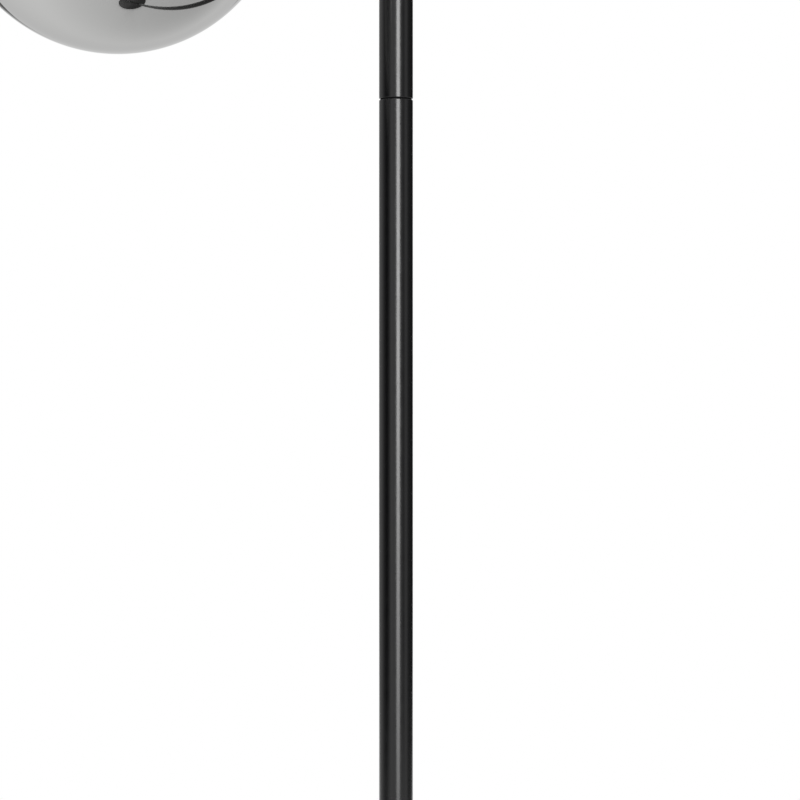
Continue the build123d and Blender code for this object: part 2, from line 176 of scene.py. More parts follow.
# A tall box beside the camera draws the pole's long highlight. It dims towards the floor, in steps
# that the powder coat blurs. A broad box overhead fills.
KEY_TURN = math.radians(12)
KEY_DISTANCE = 2.2
KEY_WIDTH = 0.85
KEY_RADIANCE = 8.1
KEY_LEVELS = (0.10, 0.45, 0.70, 0.92, 2.40)
KEY_SHARES = (0.42, 0.58, 0.76, 1.00)
OVERHEAD_PLACE = (-0.4, -0.3, 3.4)
OVERHEAD_SIZE = (2.4, 2.4)
OVERHEAD_RADIANCE = 1.6
for number, (bottom, top, share) in enumerate(zip(KEY_LEVELS, KEY_LEVELS[1:], KEY_SHARES)):
    place = round_lamp(0, KEY_DISTANCE, (bottom + top) / 2, KEY_TURN)
    softbox(f"key_box_{number}", place, (0, 0, place.z), (KEY_WIDTH, top - bottom), share * KEY_RADIANCE)
softbox("overhead_box", OVERHEAD_PLACE, (0, 0, 0), OVERHEAD_SIZE, OVERHEAD_RADIANCE)

# The floor: pale studio paper, which turns white away from the lamp as the lit background does. A long soft
# shadow of the lamp is painted on it, from the front left to the back right: over a stretched patch there the
# paper keeps its lit matt grey, and it turns white only beyond. It runs far back behind the lamp, and ends
# where the dark cards stand round its front.
FLOOR_WIDTH = 5.4
FLOOR_FRONT, FLOOR_BACK = -2.5, 9.0
PAINTED_SHADE_PLACE = (0.43, 0.01, 0)
PAINTED_SHADE_TURN = math.radians(-34)
PAINTED_SHADE_STRETCH = 1.8
PAPER_WHITE = 1.58
floor_mesh = bmesh.new()
bmesh.ops.create_grid(floor_mesh, x_segments=1, y_segments=1, size=0.5)
bmesh.ops.scale(floor_mesh, verts=floor_mesh.verts, vec=(FLOOR_WIDTH, FLOOR_BACK - FLOOR_FRONT, 1))
bmesh.ops.translate(floor_mesh, verts=floor_mesh.verts, vec=(0, (FLOOR_FRONT + FLOOR_BACK) / 2, 0))
floor_data = bpy.data.meshes.new("floor")
floor_mesh.to_mesh(floor_data)
floor = bpy.data.objects.new("floor", floor_data)
bpy.context.collection.objects.link(floor)
paper = bpy.data.materials.new("studio_paper")
paper.use_nodes = True
tree = paper.node_tree
tree.nodes.clear()
place = add_node(tree, "ShaderNodeTexCoord").outputs["Object"]
# Distance from the middle of the painted shadow, stretched along it: the paper turns white only as it grows.
from_painted_shade = add_node(
    tree,
    "ShaderNodeMapping",
    {"vector_type": "TEXTURE"},
    {
        "Vector": place,
        "Location": PAINTED_SHADE_PLACE,
        "Rotation": (0, 0, PAINTED_SHADE_TURN),
        "Scale": (1, PAINTED_SHADE_STRETCH, 1),
    },
)
distance = add_node(
    tree, "ShaderNodeVectorMath", {"operation": "LENGTH"}, {0: from_painted_shade.outputs[0]}
).outputs["Value"]
far = add_node(
    tree,
    "ShaderNodeMapRange",
    {"interpolation_type": "SMOOTHSTEP"},
    {"Value": distance, "From Max": PAPER_WHITE},
).outputs["Result"]
rays = add_node(tree, "ShaderNodeLightPath").outputs
camera_or_shine = add_node(
    tree, "ShaderNodeMath", {"operation": "MAXIMUM"}, {0: rays["Is Camera Ray"], 1: rays["Is Glossy Ray"]}
)
any_seen = add_node(
    tree,
    "ShaderNodeMath",
    {"operation": "MAXIMUM"},
    {0: camera_or_shine.outputs[0], 1: rays["Is Transmission Ray"]},
)
white_share = add_node(tree, "ShaderNodeMath", {"operation": "MULTIPLY"}, {0: any_seen.outputs[0], 1: far})
matt = add_node(tree, "ShaderNodeBsdfDiffuse", {}, {"Color": linear("#DCDCDC")})
lit = add_node(tree, "ShaderNodeEmission", {}, {"Color": linear("#FFFFFF"), "Strength": 1.0})
paper_mix = add_node(
    tree,
    "ShaderNodeMixShader",
    {},
    {"Fac": white_share.outputs[0], 1: matt.outputs[0], 2: lit.outputs[0]},
)
add_node(tree, "ShaderNodeOutputMaterial", {}, {"Surface": paper_mix.outputs[0]})
floor_data.materials.append(paper)

# ---- Base pad -----------------------------------------------------------------------------------
# A disc die-cut from closed-cell foam rubber, glued under the weight so that the base doesn't mark
# or slide on a floor. It covers the nut's recess and the cord's channel.
PAD_EDGE = 0.0006


def spun(bm, outline, rounding=(), steps=128, closed=True, segments=8):
    """Adds a round shape to an empty mesh: (radius, height) corners, some rounded, spun about Z."""
    corners = [bm.verts.new((radius, 0, level)) for radius, level in outline]
    for start, end in zip(corners, corners[1:] + (corners[:1] if closed else [])):
        bm.edges.new((start, end))
    for index, radius in rounding:
        bmesh.ops.bevel(
            bm,
            geom=[corners[index]],
            offset=radius,
            segments=segments,
            profile=0.5,
            affect="VERTICES",
            material=-1,
        )
    bmesh.ops.spin(
        bm,
        geom=bm.verts[:] + bm.edges[:],
        cent=(0, 0, 0),
        axis=(0, 0, 1),
        dvec=(0, 0, 0),
        angle=2 * math.pi,
        steps=steps,
        use_merge=True,
    )
    bmesh.ops.remove_doubles(bm, verts=bm.verts, dist=1e-6)


def turned(outline, rounding=(), steps=128, closed=True, segments=8):
    """A round piece of its own, with its faces outwards."""
    bm = bmesh.new()
    spun(bm, outline, rounding, steps, closed, segments)
    bmesh.ops.recalc_face_normals(bm, faces=bm.faces)
    return bm


def finished(name, bm, material, body, nodes=(), crease=30):
    """The mesh as a piece of the lamp: smooth but for its creases, and riding on its body."""
    mesh = bpy.data.meshes.new(name)
    bm.to_mesh(mesh)
    bm.free()
    mesh.shade_smooth()
    mesh.set_sharp_from_angle(angle=math.radians(crease))
    mesh.materials.append(material)
    piece = bpy.data.objects.new(name, mesh)
    bpy.context.collection.objects.link(piece)
    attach(piece, body)
    if nodes:
        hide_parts(*nodes)
    return piece


def surface(name, settings):
    """A material with one principled shader, its plain values set, and where it reads a place from."""
    material = bpy.data.materials.new(name)
    material.use_nodes = True
    tree = material.node_tree
    tree.nodes.clear()
    shader = add_node(tree, "ShaderNodeBsdfPrincipled", {}, settings)
    add_node(tree, "ShaderNodeOutputMaterial", {}, {"Surface": shader.outputs["BSDF"]})
    place = add_node(tree, "ShaderNodeTexCoord").outputs["Object"]
    return material, tree, shader, place


def grain(tree, place, size, detail=2.0):
    """Noise whose lumps are about that many metres across."""
    settings = {"Vector": place, "Scale": 1 / size, "Detail": detail, "Roughness": 0.5}
    return add_node(tree, "ShaderNodeTexNoise", {}, settings).outputs["Fac"]


def shaded(tree, shader, value, low, high):
    """Colours the surface from one hex colour to another by a pattern."""
    mix = add_node(tree, "ShaderNodeMix", {"data_type": "RGBA"}, {0: value, 6: linear(low), 7: linear(high)})
    tree.links.new(mix.outputs[2], shader.inputs["Base Color"])


def roughened(tree, shader, value, low, high):
    """Runs the roughness from one number to another by a pattern."""
    span = add_node(tree, "ShaderNodeMapRange", {}, {"Value": value, "To Min": low, "To Max": high})
    tree.links.new(span.outputs["Result"], shader.inputs["Roughness"])


def bumped(tree, shader, height, depth):
    """Raises the surface by a pattern, depth metres from its lowest to its highest."""
    bump = add_node(tree, "ShaderNodeBump", {}, {"Height": height, "Distance": depth})
    tree.links.new(bump.outputs["Normal"], shader.inputs["Normal"])


# Foam rubber, skived from a block: matt, with cut cells of about 0.5 mm drawn at 1.2 mm, to show.
FOAM_CELL = 0.0012
foam_rubber, tree, shader, place = surface(
    "foam_rubber", {"Base Color": linear("#232324"), "Roughness": 0.85}
)
cells = add_node(
    tree, "ShaderNodeTexVoronoi", {}, {"Vector": place, "Scale": 1 / FOAM_CELL}
).outputs["Distance"]
# The cells are drawn darker in their pits than on their walls, following the bump: painted shade in the pits.
shaded(tree, shader, cells, "#1B1B1C", "#303031")
bumped(tree, shader, cells, 0.0002)

low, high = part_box("base_pad")
pad = turned(
    [(0, low.z), (high.x, low.z), (high.x, high.z), (0, high.z)],
    [(1, PAD_EDGE), (2, PAD_EDGE)],
)
finished("foam_pad", pad, foam_rubber, "stand", ["base_pad"])

# ---- Base weight --------------------------------------------------------------------------------
# A disc sand-cast in grey iron and dipped in primer, with a recess for the foot's nut and a channel
# out to the edge for the lead. The pressed cover hides it, and the solid's own shape is kept.


def dressed(material, *names):
    """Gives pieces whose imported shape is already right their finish."""
    for name in names:
        mesh = frame["nodes"][name].data
        mesh.materials.clear()
        mesh.materials.append(material)


# Primed cast iron: dull dark grey, with the coarse skin that moulding sand of 0.4 mm leaves.
cast_iron, tree, shader, place = surface(
    "primed_cast_iron", {"Base Color": linear("#3A3B3D"), "Roughness": 0.7}
)
sand = grain(tree, place, 0.0016, 3.0)
shaded(tree, shader, grain(tree, place, 0.03), "#313234", "#46464A")
bumped(tree, shader, sand, 0.0004)
dressed(cast_iron, "base_weight")

# ---- Base cover ---------------------------------------------------------------------------------
# A dish deep-drawn from steel sheet, upside down, with a rounded shoulder and a trimmed rim that
# stops just short of the floor. It is powder coated black in a fine satin texture.
COVER_WALL = 0.0015
COVER_SHOULDER = 0.006
COVER_HOLE = 0.0052

# Polyester powder coat, electrostatically sprayed and baked: near black, satin, with the fine
# pebbling that the powder's grain leaves. Its real grain of 0.3 mm is drawn at 1.6 mm, to show. Its
# gloss varies over the marks, about 8 mm across, where the powder flowed as it melted.
POWDER_GRAIN = 0.0016
POWDER_FLOW = 0.008
POWDER_DEPTH = 0.000006
powder_coat, tree, shader, place = surface(
    "black_powder_coat",
    {"Base Color": linear("#0B0B0C"), "Roughness": 0.2, "IOR": 1.5},
)
bumped(tree, shader, grain(tree, place, POWDER_GRAIN), POWDER_DEPTH)
roughened(tree, shader, grain(tree, place, POWDER_FLOW, 3.0), 0.16, 0.27)

low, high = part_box("base_cover")
base_radius, base_top = high.x, high.z
cover = turned(
    [
        (base_radius - COVER_WALL, low.z),
        (base_radius, low.z),
        (base_radius, base_top),
        (COVER_HOLE, base_top),
        (COVER_HOLE, base_top - COVER_WALL),
        (base_radius - COVER_WALL, base_top - COVER_WALL),
    ],
    [(2, COVER_SHOULDER), (5, COVER_SHOULDER - COVER_WALL), (0, COVER_WALL / 3), (1, COVER_WALL / 3)],
    steps=256,
)
finished("base_cover_pressed", cover, powder_coat, "stand", ["base_cover"])

# ---- Cord gland ---------------------------------------------------------------------------------
# A flanged bush moulded in black nylon, pushed into the base's rear edge, so that the sheet's edge
# can't cut the mains lead. Its solid already has the flange that follows the base's curve.

# Nylon as moulded: black, waxy and softly shining, with the fine spark texture of its mould.
nylon, tree, shader, place = surface(
    "moulded_nylon", {"Base Color": linear("#151516"), "Roughness": 0.42, "IOR": 1.53}
)
bumped(tree, shader, grain(tree, place, 0.0008), 0.00001)
roughened(tree, shader, grain(tree, place, 0.004), 0.38, 0.5)
dressed(nylon, "cord_gland")

# ---- Foot ---------------------------------------------------------------------------------------
# A turned collar on the base takes the pole's end. A hollow threaded rod, screwed into the pole,
# goes down through the collar, the cover and the weight, and a washer and nut pull all of it tight.
ROD_RADIUS = 0.005
ROD_PITCH = 0.001
ROD_DEPTH = 0.0006
ROD_CREST_START, ROD_CREST_END = 0.42, 0.58
ROD_CHAMFER = 0.0005
ROD_BORE = 0.0035
COLLAR_EDGE = 0.0025
COLLAR_FLOOR = 0.0055
COLLAR_INSIDE = 0.01015

# Zinc plate, passivated: bright, faintly blue steel with a soft brushed look and a cloudy film.
zinc_plate, tree, shader, place = surface(
    "zinc_plate", {"Base Color": linear("#C3C7CC"), "Metallic": 1.0, "Roughness": 0.32}
)
shaded(tree, shader, grain(tree, place, 0.004, 4.0), "#B4B9C0", "#D3D3CB")
roughened(tree, shader, grain(tree, place, 0.0012), 0.26, 0.42)


def threaded(profile, pitch, bottom, top, outline, start=None, sides=48):
    """A piece with a screw thread. The profile, (radius, rise) points over one pitch, winds up from
    the bottom level to the top one, and the open outline closes the piece from there back down."""
    bm = bmesh.new()
    spun(bm, outline, (), sides, closed=False)
    plain = set(bm.verts)
    upper = [e for e in bm.edges if e.is_boundary and is_at(e, *outline[0])]
    lower = [e for e in bm.edges if e.is_boundary and is_at(e, *outline[-1])]
    start = bottom - pitch if start is None else start
    corners = [bm.verts.new((radius, 0, start + rise)) for radius, rise in profile]
    line = [bm.edges.new(pair) for pair in zip(corners, corners[1:])]
    bmesh.ops.spin(
        bm,
        geom=corners + line,
        cent=(0, 0, 0),
        axis=(0, 0, 1),
        dvec=(0, 0, pitch / sides),
        angle=2 * math.pi,
        steps=sides,
        use_merge=False,
    )
    turn = [v for v in bm.verts if v not in plain]
    turn += [e for e in bm.edges if e.verts[0] not in plain]
    turn += [f for f in bm.faces if f.verts[0] not in plain]
    for number in range(1, math.ceil((top - start) / pitch)):
        copied = bmesh.ops.duplicate(bm, geom=turn)["geom"]
        moved = [v for v in copied if isinstance(v, bmesh.types.BMVert)]
        bmesh.ops.translate(bm, verts=moved, vec=(0, 0, number * pitch))
    bmesh.ops.remove_doubles(bm, verts=[v for v in bm.verts if v not in plain], dist=1e-6)
    for level, normal, ring in ((bottom, -1, lower), (top, 1, upper)):
        wound = {v for v in bm.verts if v not in plain}
        edges = [e for e in bm.edges if e.verts[0] in wound and e.verts[1] in wound]
        faces = [f for f in bm.faces if all(v in wound for v in f.verts)]
        bmesh.ops.bisect_plane(
            bm,
            geom=list(wound) + edges + faces,
            plane_co=(0, 0, level),
            plane_no=(0, 0, normal),
            clear_outer=True,
        )
        cut = [e for e in bm.edges if e.is_boundary and not any(v in plain for v in e.verts)]
        cut = [e for e in cut if all(abs(v.co.z - level) < 1e-6 for v in e.verts)]
        bmesh.ops.bridge_loops(bm, edges=cut + ring)
    bmesh.ops.recalc_face_normals(bm, faces=bm.faces)
    return bm


def is_at(edge, radius, level):
    """Whether an edge lies on the circle of that radius at that level."""
    return all(math.hypot(v.co.xy.length - radius, v.co.z - level) < 1e-6 for v in edge.verts)


def fine_thread(clearance=0.0):
    """One pitch of the rods' V thread, from root to root, with its crest slightly flat."""
    root, crest = ROD_RADIUS - ROD_DEPTH + clearance, ROD_RADIUS + clearance
    return [
        (root, 0),
        (crest, ROD_CREST_START * ROD_PITCH),
        (crest, ROD_CREST_END * ROD_PITCH),
        (root, ROD_PITCH),
    ]


def thread_rod(low_end, high_end):
    """A hollow rod with the fine thread and chamfered ends."""
    return threaded(
        fine_thread(),
        ROD_PITCH,
        low_end + ROD_CHAMFER,
        high_end - ROD_CHAMFER,
        [
            (ROD_RADIUS - ROD_CHAMFER, high_end),
            (ROD_BORE, high_end),
            (ROD_BORE, low_end),
            (ROD_RADIUS - ROD_CHAMFER, low_end),
        ],
    )


low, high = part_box("foot_nipple")
rod = thread_rod(low.z, high.z)
finished("foot_thread_rod", rod, zinc_plate, "stand", ["foot_nipple"])
dressed(zinc_plate, "foot_nut", "foot_washer")

low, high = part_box("foot_collar")
collar = turned(
    [
        (high.x, low.z),
        (high.x, high.z),
        (COLLAR_INSIDE, high.z),
        (COLLAR_INSIDE, low.z + COLLAR_FLOOR),
        (COVER_HOLE, low.z + COLLAR_FLOOR),
        (COVER_HOLE, low.z),
    ],
    [(1, COLLAR_EDGE), (2, COLLAR_EDGE / 5), (0, COLLAR_EDGE / 8)],
)
finished("foot_collar_turned", collar, powder_coat, "stand", ["foot_collar"])

# ---- Bushes -------------------------------------------------------------------------------------
# Short turned bushes, chemically blackened, pressed into the tubes' ends and tapped for the hollow
# rods. Their thin flanges keep the painted ends apart, so that a seam shows as a fine dark line.
BUSH_FLANGE = 0.0004
TAP_CLEARANCE = 0.00005
BUSH_LIP = 0.0005

# Black oxide on steel: a thin conversion coat, blue-black and dull, with the turning marks under it.
black_oxide, tree, shader, place = surface(
    "black_oxide_steel", {"Base Color": linear("#060607"), "Roughness": 0.7, "Specular IOR Level": 0.08}
)
shaded(tree, shader, grain(tree, place, 0.003, 3.0), "#040405", "#09090A")
roughened(tree, shader, grain(tree, place, 0.0006), 0.62, 0.8)

for number, end in ((1, "lower"), (1, "upper"), (2, "lower"), (2, "upper"), (3, "lower")):
    low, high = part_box(f"pole_bush_{number}_{end}")
    body = high.x - BUSH_LIP
    flange = low.z + BUSH_FLANGE
    steps = [(body, high.z), (body, flange), (high.x, flange), (high.x, low.z)]
    if end == "upper":
        flange = high.z - BUSH_FLANGE
        steps = [(high.x, high.z), (high.x, flange), (body, flange), (body, low.z)]
    bush = threaded(fine_thread(TAP_CLEARANCE), ROD_PITCH, low.z, high.z, steps)
    node = f"pole_bush_{number}_{end}"
    finished(f"bush_{number}_{end}", bush, black_oxide, "stand", [node])
for number in (1, 2):
    low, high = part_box(f"seam_nipple_{number}")
    rod = thread_rod(low.z, high.z)
    node = f"seam_nipple_{number}"
    finished(f"seam_thread_rod_{number}", rod, zinc_plate, "stand", [node])

# ---- Pole ---------------------------------------------------------------------------------------
# Three welded steel tubes with rolled ends, screwed together end to end and powder coated. The last
# has a hole for each arm, and a turned cap closes its top.
POLE_WALL = 0.0012
TUBE_EDGE = 0.0004
HOLE_MARGIN = 0.012
CAP_EDGE = 0.0012
CAP_THICKNESS = 0.002


def light_frame(name):
    """Where a light is drawn: +Z out along its arm from the pole's axis, +X up."""
    hinge = next(j for j in frame["joints"] if j["name"] == f"globe_{name}_unscrew")
    outwards = Vector(hinge["axis"])
    upwards = Vector((0, 0, 1))
    turn = Matrix((upwards, outwards.cross(upwards), outwards)).transposed()
    return Matrix.Translation((0, 0, hinge["pos_m"][2])) @ turn.to_4x4()


LIGHTS = {name: light_frame(name) for name in ("low", "middle", "high")}
ARM_RADIUS = 0.006


def drilled(bm):
    """The tube with the arms' holes through its wall."""
    tube = bpy.data.objects.new("tube", bpy.data.meshes.new("tube"))
    bm.to_mesh(tube.data)
    drills = bmesh.new()
    for place_of_light in LIGHTS.values():
        bmesh.ops.create_cone(
            drills,
            cap_ends=True,
            segments=48,
            radius1=ARM_RADIUS,
            radius2=ARM_RADIUS,
            depth=2 * pole_radius,
            matrix=place_of_light @ Matrix.Translation((0, 0, pole_radius)),
        )
    drill = bpy.data.objects.new("drill", bpy.data.meshes.new("drill"))
    drills.to_mesh(drill.data)
    drills.free()
    for piece in (tube, drill):
        bpy.context.collection.objects.link(piece)
    cut = tube.modifiers.new("holes", "BOOLEAN")
    cut.operation = "DIFFERENCE"
    cut.solver = "EXACT"
    cut.object = drill
    shaped = bpy.data.meshes.new_from_object(tube.evaluated_get(bpy.context.evaluated_depsgraph_get()))
    bm.clear()
    bm.from_mesh(shaped)
    for piece in (tube, drill):
        bpy.data.objects.remove(piece)
    bpy.data.meshes.remove(shaped)
    return bm


for number in (1, 2, 3):
    low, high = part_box(f"pole_section_{number}")
    heights = [m.translation.z + side * HOLE_MARGIN for m in LIGHTS.values() for side in (-1, 1)]
    rings = sorted(z for z in heights if low.z < z < high.z)
    inside = pole_radius - POLE_WALL
    outline = [(inside, low.z), (pole_radius, low.z)]
    outline += [(pole_radius, z) for z in rings]
    outline += [(pole_radius, high.z), (inside, high.z)]
    outline += [(inside, z) for z in reversed(rings)]
    tube = turned(outline, [(1, TUBE_EDGE), (2 + len(rings), TUBE_EDGE)], steps=96)
    if rings:
        tube = drilled(tube)
    node = f"pole_section_{number}"
    finished(f"pole_tube_{number}", tube, powder_coat, "stand", [node])

low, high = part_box("pole_cap")
rim = high.z - CAP_THICKNESS
cap = turned(
    [(0, high.z), (pole_radius, high.z), (pole_radius, rim), (inside, rim), (inside, low.z), (0, low.z)],
    [(1, CAP_EDGE), (2, CAP_EDGE / 5), (4, CAP_EDGE / 2)],
    steps=96,
)
finished("pole_cap_turned", cap, powder_coat, "stand", ["pole_cap"])

# ---- Arms ---------------------------------------------------------------------------------------
# Short thick-walled tubes that go through the pole's wall and are brazed there with a small smooth
# fillet. Their ends are turned down and threaded, and a nut inside each cup clamps the cup on.
WELD_SIZE = 0.0014
WELD_EDGE = 0.00015
WELD_SINK = 0.0006


def span(piece):
    """Where a light's piece starts and ends along its arm, and its radius."""
    low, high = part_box(f"{piece}_high")
    return low.y, high.y, (high.z - low.z) / 2


def on_lights(name, bm, material, body, node=None, crease=30):
    """One of the same piece on each light, drawn along +Z from the pole's axis."""
    for light, place_of_light in LIGHTS.items():
        own = bm.copy()
        own.transform(place_of_light)
        carrier = body if body == "stand" else f"{body}_{light}"
        finished(f"{name}_{light}", own, material, carrier, [f"{node}_{light}"] if node else (), crease)
    bm.free()


arm_start, arm_end, _ = span("arm_tube")
cup_back, cup_rim, cup_radius = span("cup")
arm = threaded(
    fine_thread(),
    ROD_PITCH,
    cup_back,
    arm_end - ROD_CHAMFER,
    [
        (ROD_RADIUS - ROD_CHAMFER, arm_end),
        (ROD_BORE, arm_end),
        (ROD_BORE, arm_start),
        (ARM_RADIUS, arm_start),
        (ARM_RADIUS, cup_back),
    ],
    sides=64,
)
on_lights("arm", arm, powder_coat, "stand", "arm_tube")
dressed(zinc_plate, *(f"arm_nut_{light}" for light in LIGHTS))

weld = turned(
    [
        (ARM_RADIUS - WELD_EDGE, -WELD_SINK),
        (ARM_RADIUS + WELD_SIZE, -WELD_SINK),
        (ARM_RADIUS + WELD_SIZE, 0),
        (ARM_RADIUS + WELD_EDGE, WELD_EDGE),
        (ARM_RADIUS, WELD_SIZE),
        (ARM_RADIUS - WELD_EDGE, WELD_SIZE),
    ],
    [(3, WELD_SIZE - 2 * WELD_EDGE)],
    steps=64,
)
for vert in weld.verts:
    vert.co.z += math.sqrt(pole_radius**2 - vert.co.y**2)
on_lights("arm_braze", weld, powder_coat, "stand", crease=60)

# ---- Cups ---------------------------------------------------------------------------------------
# Cups deep-drawn from 1 mm steel sheet with a generous shoulder, and powder coated inside and out.
# The trimmed rim is rounded. Each hides a lampholder and carries a globe.
CUP_WALL = 0.001
CUP_SHOULDER = 0.009
CUP_EDGE = 0.45 * CUP_WALL
cup = turned(
    [
        (cup_radius, cup_rim),
        (cup_radius, cup_back),
        (COVER_HOLE, cup_back),
        (COVER_HOLE, cup_back + CUP_WALL),
        (cup_radius - CUP_WALL, cup_back + CUP_WALL),
        (cup_radius - CUP_WALL, cup_rim),
    ],
    [(1, CUP_SHOULDER), (4, CUP_SHOULDER - CUP_WALL), (0, CUP_EDGE), (5, CUP_EDGE)],
    steps=160,
    segments=12,
)
on_lights("cup_drawn", cup, powder_coat, "stand", "cup")

# ---- Lampholders --------------------------------------------------------------------------------
# A phenolic body moulded round a nut for the arm's end, with a web that has two wire holes. A rolled
# brass shell in it takes the lamp's cap, and a bent brass tongue presses on the lamp's tip.
EDISON_PITCH = 0.002822
EDISON_RADIUS = 0.00695
EDISON_DEPTH = 0.0005
EDISON_CLEARANCE = 0.0003

# Phenolic: compression moulded, near black, glossy, with the faint swirl of its wood-flour filler.
phenolic, tree, shader, place = surface(
    "moulded_phenolic", {"Base Color": linear("#1A1715"), "Roughness": 0.3}
)
shaded(tree, shader, grain(tree, place, 0.005, 5.0), "#141211", "#26211D")
roughened(tree, shader, grain(tree, place, 0.002), 0.24, 0.38)
dressed(phenolic, *(f"lampholder_{light}" for light in LIGHTS))

# Brass, cold rolled and stamped: warm yellow metal, lightly tarnished in clouds.
brass, tree, shader, place = surface(
    "stamped_brass", {"Base Color": linear("#D9B868"), "Metallic": 1.0, "Roughness": 0.28}
)
shaded(tree, shader, grain(tree, place, 0.005, 4.0), "#C39B4C", "#E5C87E")
roughened(tree, shader, grain(tree, place, 0.001), 0.22, 0.38)
dressed(brass, *(f"socket_tongue_{light}" for light in LIGHTS))


def edison_wave(radius):
    """One pitch of the round Edison thread, from crest to crest."""
    middle, swing, points = radius - EDISON_DEPTH / 2, EDISON_DEPTH / 2, 10
    return [
        (middle + swing * math.cos(2 * math.pi * i / points), EDISON_PITCH * i / points)
        for i in range(points + 1)
    ]


shell_back, shell_front, shell_radius = span("socket_shell")
thread_start = shell_back - EDISON_PITCH
shell = threaded(
    edison_wave(EDISON_RADIUS + EDISON_CLEARANCE),
    EDISON_PITCH,
    shell_back,
    shell_front,
    [(shell_radius, shell_front), (shell_radius, shell_back)],
    start=thread_start,
    sides=64,
)
on_lights("socket_shell_rolled", shell, brass, "stand", "socket_shell")

# ---- Lamps --------------------------------------------------------------------------------------
# Clear 45 mm ball lamps with a small Edison cap. The cap is nickel-plated brass with the thread
# rolled in, over a black insulator with a soldered tip. It is cemented on the blown bulb's neck.
CAP_CONE = 0.003
CAP_SKIRT = 0.0045
GLASS_NECK = 0.006
GLASS_WALL = 0.0009
GLASS_FIT = 0.00003
INSULATOR_TIP = 0.004
INSULATOR_SINK = 0.0008

# Nickel plate: bright, faintly warm, with fine drawing lines from the press.
nickel, tree, shader, place = surface(
    "nickel_plate", {"Base Color": linear("#D2CEC5"), "Metallic": 1.0, "Roughness": 0.24}
)
shaded(tree, shader, grain(tree, place, 0.003, 3.0), "#C4BFB4", "#DEDBD3")
roughened(tree, shader, grain(tree, place, 0.0008), 0.18, 0.34)

# Soft solder: dull grey, slightly pitted where it set.
solder, tree, shader, place = surface(
    "soft_solder", {"Base Color": linear("#A9ABAD"), "Metallic": 1.0, "Roughness": 0.45}
)
bumped(tree, shader, grain(tree, place, 0.0007), 0.00006)
roughened(tree, shader, grain(tree, place, 0.0005), 0.38, 0.6)

tip_start, tip_end, tip_radius = span("lamp_tip")
tip = turned(
    [(0, tip_start), (tip_radius, tip_start), (tip_radius, tip_end), (0, tip_end)],
    [(1, 0.8 * (tip_end - tip_start))],
    steps=48,
)
on_lights("lamp_tip_soldered", tip, solder, "contact", "lamp_tip")

cap_start, cap_end, _ = span("lamp_cap")
glass_start, glass_end, ball_radius = span("lamp_glass")
thread_end = cap_end - CAP_SKIRT
inner = GLASS_NECK + GLASS_FIT
cap = threaded(
    edison_wave(EDISON_RADIUS),
    EDISON_PITCH,
    cap_start + CAP_CONE,
    thread_end,
    [
        (EDISON_RADIUS, thread_end + EDISON_DEPTH),
        (EDISON_RADIUS, cap_end - EDISON_DEPTH / 2),
        (EDISON_RADIUS - EDISON_DEPTH / 2, cap_end),
        (inner, cap_end),
        (inner, cap_start + CAP_CONE),
    ],
    start=thread_start,
    sides=64,
)
on_lights("lamp_cap_rolled", cap, nickel, "bulb", "lamp_cap")
insulator = turned(
    [
        (0, cap_start),
        (INSULATOR_TIP, cap_start),
        (EDISON_RADIUS - EDISON_DEPTH, cap_start + CAP_CONE),
        (inner - GLASS_FIT, cap_start + CAP_CONE),
        (inner - GLASS_FIT, cap_start + CAP_CONE + INSULATOR_SINK),
        (0, cap_start + CAP_CONE + INSULATOR_SINK),
    ],
    [(1, 0.0004)],
    steps=64,
)
on_lights("lamp_insulator", insulator, nylon, "bulb")

# Soda-lime bulb glass: clear and colourless, fire-polished, very slightly wavy.
bulb_glass, tree, shader, place = surface(
    "clear_bulb_glass",
    {"Base Color": linear("#FBFDFC"), "Roughness": 0.0, "IOR": 1.51, "Transmission Weight": 1.0},
)
bumped(tree, shader, grain(tree, place, 0.02, 1.0), 0.00003)

NECK_BLEND = 0.014


def ball_and_neck(ball, neck, blend, centre, end):
    """Outline corners of a ball that blends into a neck, from its far pole, and their roundings."""
    side = neck + blend
    fall = math.sqrt((ball + blend) ** 2 - side**2)
    touch_radius = side * ball / (ball + blend)
    touch_level = centre - fall * ball / (ball + blend)
    slope = side / fall
    shoulder = touch_level + (ball - touch_radius) * slope
    throat = touch_level - (touch_radius - neck) * slope
    corners = [(0, centre + ball), (ball, centre + ball), (ball, shoulder), (neck, throat), (neck, end)]
    return corners, [ball, centre - shoulder, throat - (centre - fall)]


centre = glass_end - ball_radius
outer, bends = ball_and_neck(ball_radius, GLASS_NECK, NECK_BLEND, centre, glass_start)
inner_ball, inner_neck = ball_radius - GLASS_WALL, GLASS_NECK - GLASS_WALL
inside_blend = NECK_BLEND + GLASS_WALL
inside_line, inside_bends = ball_and_neck(inner_ball, inner_neck, inside_blend, centre, glass_start)
bulb = turned(
    outer + inside_line[::-1],
    list(zip((1, 2, 3), bends)) + list(zip((6, 7, 8), inside_bends[::-1])),
    steps=96,
    closed=False,
    segments=20,
)
on_lights("bulb_blown", bulb, bulb_glass, "bulb", "lamp_glass")

# ---- Lamp insides -------------------------------------------------------------------------------
# A flared glass stem, sealed in the bulb's neck, holds a wire mast with two stars of thin wire. Four
# rods of tiny light emitters hang between them, dipped in silicone full of yellow phosphor.
STEM_RADIUS = 0.0025
STEM_HEIGHT = 0.024
STEM_FOOT = 0.0015
MAST_SEALED_IN = 0.004
WIRE_RADIUS = 0.0004
ROD_RING = 0.0065
FILAMENT_RADIUS = 0.0009
FILAMENT_LENGTH = 0.026
TAB_LENGTH = 0.0022
TAB_RADIUS = 0.0005

# Phosphor silicone: matt deep yellow, slightly lumpy where it was dipped.
phosphor, tree, shader, place = surface(
    "phosphor_silicone", {"Base Color": linear("#E0B93A"), "Roughness": 0.5}
)
shaded(tree, shader, grain(tree, place, 0.0015), "#D9AC2C", "#EBCB5A")
bumped(tree, shader, grain(tree, place, 0.002), 0.00008)


